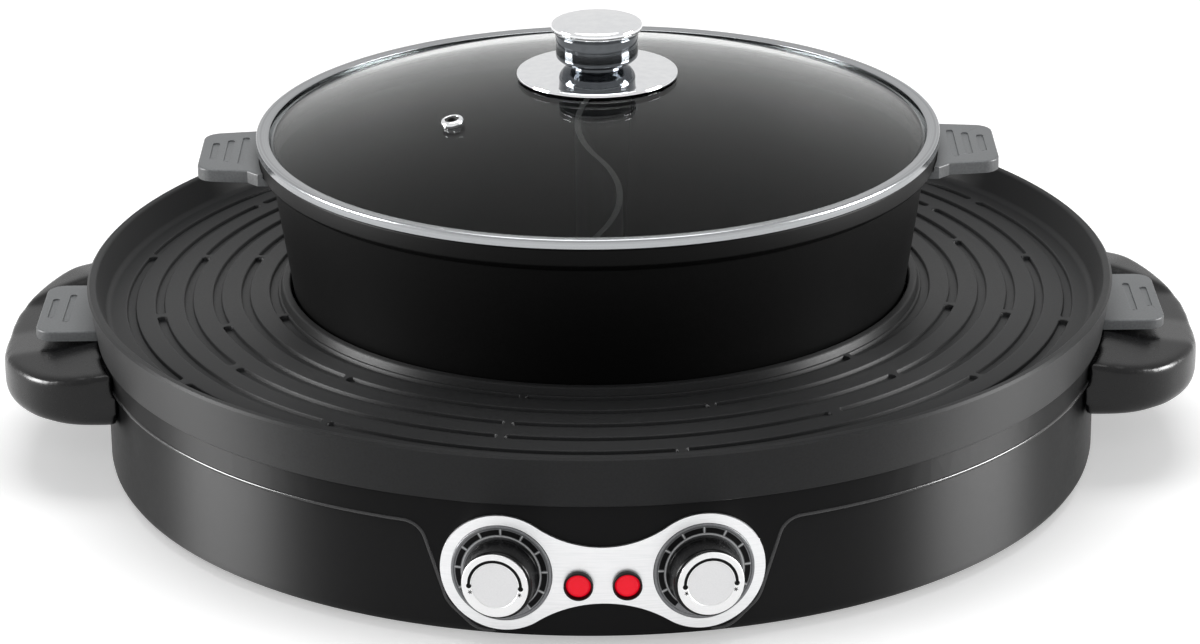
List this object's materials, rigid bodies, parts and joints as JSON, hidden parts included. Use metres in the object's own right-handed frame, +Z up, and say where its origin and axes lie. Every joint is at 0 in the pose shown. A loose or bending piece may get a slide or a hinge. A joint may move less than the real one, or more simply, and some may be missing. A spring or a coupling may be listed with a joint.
{
  "type": "electric hot pot with griddle",
  "caption": "Round electric hot pot: a divided pot with a domed glass lid, set in a grooved ring griddle on a heated base with side handles, dial knobs and indicator lamps.",
  "frame": {"origin": "on the pot's axis at the level of the table, between the feet", "axes": "+Z up, -Y towards the control panel, +X to the right as seen from the panel's side"},
  "size_m": [0.52, 0.4561, 0.195],
  "materials": {
    "black_enamel": "gloss black enamel",
    "black_gloss_plastic": "gloss black moulding",
    "zinc_steel": "zinc-plated sheet",
    "bright_reflector": "bright pressed sheet",
    "black_rubber": "matt black",
    "screw_steel": "plated steel",
    "heater_tube": "heat-darkened tube",
    "cast_plate": "cast, satin",
    "silver_fascia": "bright satin silver",
    "grey_dial": "graduated grey",
    "red_lens": "translucent red",
    "bulb_glass": "clear neon bulb",
    "brass_pin": "plated blade",
    "white_block": "cream ceramic",
    "wire_sleeve": "glass-fibre sleeve",
    "nonstick_griddle": "dark grey non-stick coat",
    "nonstick_pot": "black non-stick coat",
    "grey_grip": "satin mid grey",
    "lid_glass": "clear tempered",
    "lid_steel": "polished steel",
    "lid_chrome": "mirror chrome"
  },
  "bodies": {
    "base": {"base_drum": "black_enamel", "shoulder_ring": "black_gloss_plastic", "bottom_cover": "zinc_steel", "rubber_feet": "black_rubber", "foot_screws": "screw_steel", "cover_screws": "screw_steel", "reflector_pan": "bright_reflector", "griddle_heater": "heater_tube", "heater_brackets": "zinc_steel", "pot_hot_plate": "cast_plate", "pot_heater": "heater_tube", "pot_sensor": "cast_plate", "fascia_plate": "silver_fascia", "dial_left": "grey_dial", "dial_right": "grey_dial", "thermostat_left": "zinc_steel", "thermostat_right": "zinc_steel", "shaft_nuts": "screw_steel", "lamp_bezel_left": "black_gloss_plastic", "lamp_bezel_right": "black_gloss_plastic", "lamp_lens_left": "red_lens", "lamp_lens_right": "red_lens", "lamp_bulbs": "bulb_glass", "handle_left": "black_gloss_plastic", "handle_right": "black_gloss_plastic", "handle_screws": "screw_steel", "power_inlet": "black_gloss_plastic", "inlet_pins": "brass_pin", "inlet_screws": "screw_steel", "terminal_block": "white_block", "thermal_fuse": "white_block", "wire_leads": "wire_sleeve"},
    "left_knob": {"knob_left": "black_gloss_plastic", "knob_face_left": "silver_fascia", "control_shaft_left": "screw_steel"},
    "right_knob": {"knob_right": "black_gloss_plastic", "knob_face_right": "silver_fascia", "control_shaft_right": "screw_steel"},
    "griddle": {"griddle_pan": "nonstick_griddle", "griddle_ear_left": "grey_grip", "griddle_ear_right": "grey_grip", "griddle_ear_screws": "screw_steel"},
    "pot": {"pot_shell": "nonstick_pot", "pot_divider": "nonstick_pot", "pot_ear_left": "grey_grip", "pot_ear_right": "grey_grip", "pot_ear_screws": "screw_steel"},
    "lid": {"lid_glass": "lid_glass", "lid_rim": "lid_steel", "lid_flange": "lid_chrome", "lid_knob": "lid_chrome", "lid_knob_cap": "lid_chrome", "lid_washer": "black_rubber", "lid_screw": "screw_steel", "vent_eyelet": "lid_chrome", "vent_grommet": "black_rubber"}
  },
  "joints": [
    {"name": "griddle_lift", "type": "slide", "parent": "base", "child": "griddle", "axis": [0, 0, 1], "range_m": [0, 0.12]},
    {"name": "pot_lift", "type": "slide", "parent": "griddle", "child": "pot", "axis": [0, 0, 1], "range_m": [0, 0.15]},
    {"name": "lid_lift", "type": "slide", "parent": "pot", "child": "lid", "axis": [0, 0, 1], "range_m": [0, 0.1]},
    {"name": "left_knob_turn", "type": "hinge", "parent": "base", "child": "left_knob", "pos_m": [-0.03999, -0.2143, 0.0323], "axis": [0.1834, 0.983, 0], "range_deg": [0, 270]},
    {"name": "right_knob_turn", "type": "hinge", "parent": "base", "child": "right_knob", "pos_m": [0.03999, -0.2143, 0.0323], "axis": [-0.1834, 0.983, 0], "range_deg": [0, 270]}
  ]
}
